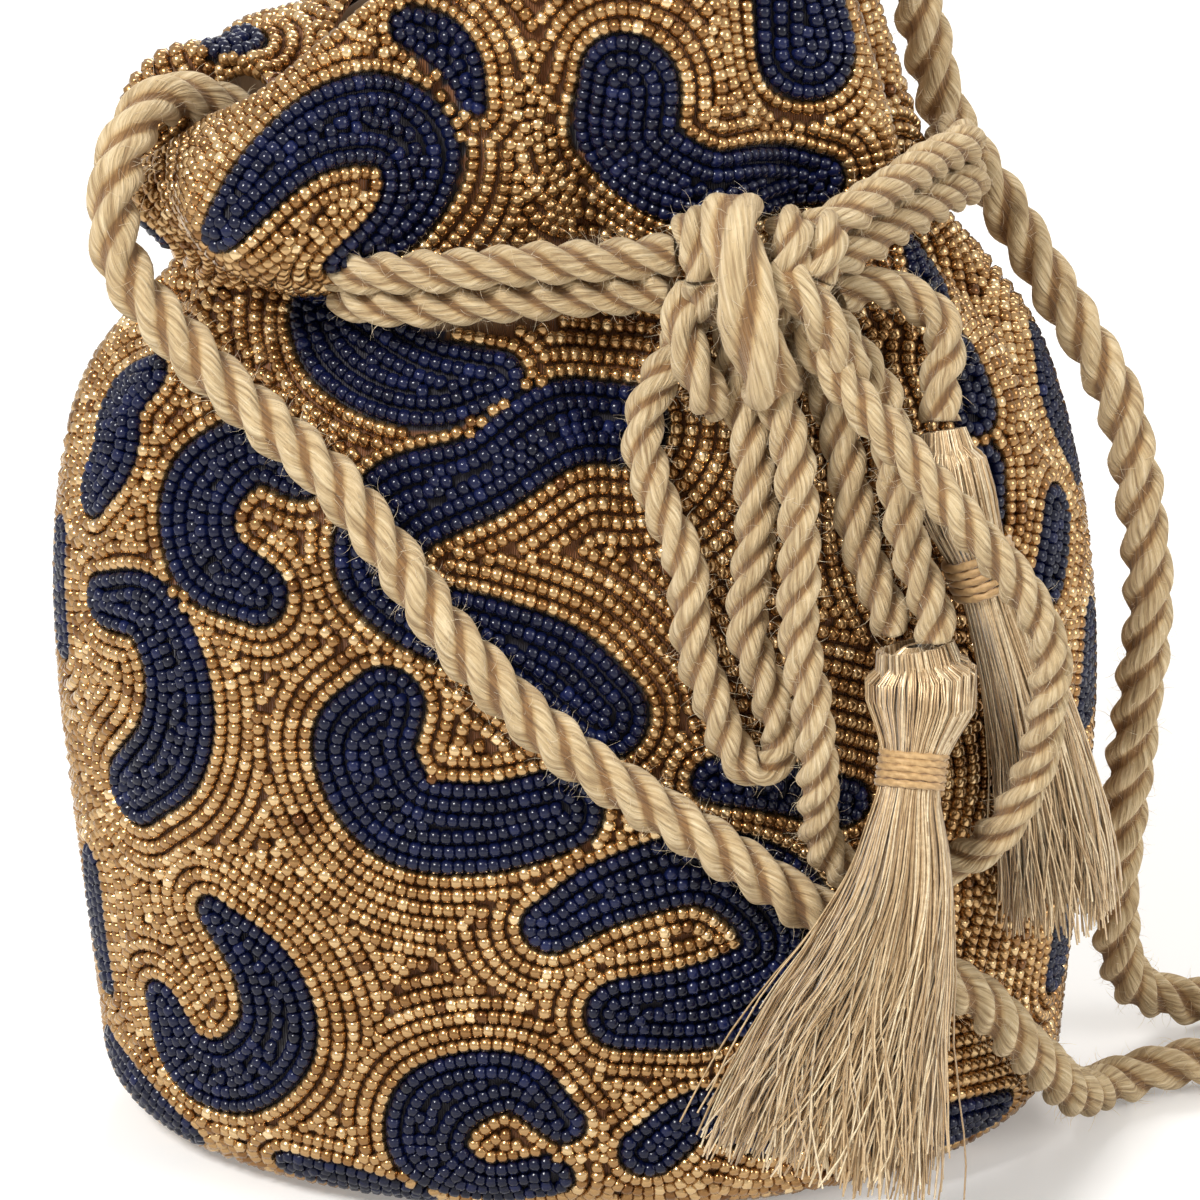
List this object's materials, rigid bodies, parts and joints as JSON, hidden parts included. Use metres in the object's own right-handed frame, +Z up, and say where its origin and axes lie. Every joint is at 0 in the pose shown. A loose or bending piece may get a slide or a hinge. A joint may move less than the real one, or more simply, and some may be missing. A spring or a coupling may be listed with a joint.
{
  "type": "potli bag",
  "caption": "Beaded drawstring pouch on a flat oval base, with a gathered neck, a slumped collar, a tied cord with two tassels and a long cord handle.",
  "frame": {"origin": "middle of the flat oval base, on the surface that the bag stands on", "axes": "+Z up through the neck, front facing -Y, +X to the right seen from the front"},
  "size_m": [0.1988, 0.1215, 0.2043],
  "materials": {
    "gold_beads": "metallic gold glass beads sewn in rows",
    "navy_beads": "opaque glossy navy glass beads sewn in rows",
    "tan_lining": "plain satin",
    "beige_cord": "soft twisted cotton",
    "champagne_thread": "shiny metallic thread",
    "binding_thread": "wound thread"
  },
  "bodies": {
    "root": {"outer_shell": "gold_beads", "lining": "tan_lining", "navy_collar_back_left": "navy_beads", "navy_collar_end_left": "navy_beads", "navy_collar_hook": "navy_beads", "navy_collar_wedge": "navy_beads", "navy_collar_heel": "navy_beads", "navy_collar_right_drop": "navy_beads", "navy_front_crescent": "navy_beads", "navy_front_figure_top": "navy_beads", "navy_front_figure_foot": "navy_beads", "navy_left_hook": "navy_beads", "navy_left_curl": "navy_beads", "navy_left_low_hook": "navy_beads", "navy_left_end_sliver": "navy_beads", "navy_left_end_drop": "navy_beads", "navy_left_comma": "navy_beads", "navy_left_corner": "navy_beads", "navy_front_low_left": "navy_beads", "navy_front_low_c": "navy_beads", "navy_front_hook": "navy_beads", "navy_front_dash": "navy_beads", "navy_right_shoulder": "navy_beads", "navy_right_upper_drop": "navy_beads", "navy_right_middle_drop": "navy_beads", "navy_right_dash": "navy_beads", "navy_right_end_curl": "navy_beads", "navy_right_end_drop": "navy_beads", "navy_right_low_drop": "navy_beads", "navy_right_corner": "navy_beads", "navy_front_low_right": "navy_beads", "navy_back_low_left": "navy_beads", "navy_back_low_middle": "navy_beads", "navy_back_low_right": "navy_beads", "navy_back_middle_right": "navy_beads", "navy_back_collar": "navy_beads", "handle_cord": "beige_cord", "neck_cord_left_upper": "beige_cord", "neck_cord_left_lower": "beige_cord", "neck_cord_right_upper": "beige_cord", "neck_cord_right_lower": "beige_cord", "bow_loop_left": "beige_cord", "bow_loop_right": "beige_cord", "cord_end_left": "beige_cord", "cord_end_right": "beige_cord", "cord_end_back": "beige_cord", "bow_knot": "beige_cord", "front_tassel": "champagne_thread", "front_tassel_binding": "binding_thread", "back_tassel": "champagne_thread", "back_tassel_binding": "binding_thread"}
  },
  "joints": []
}
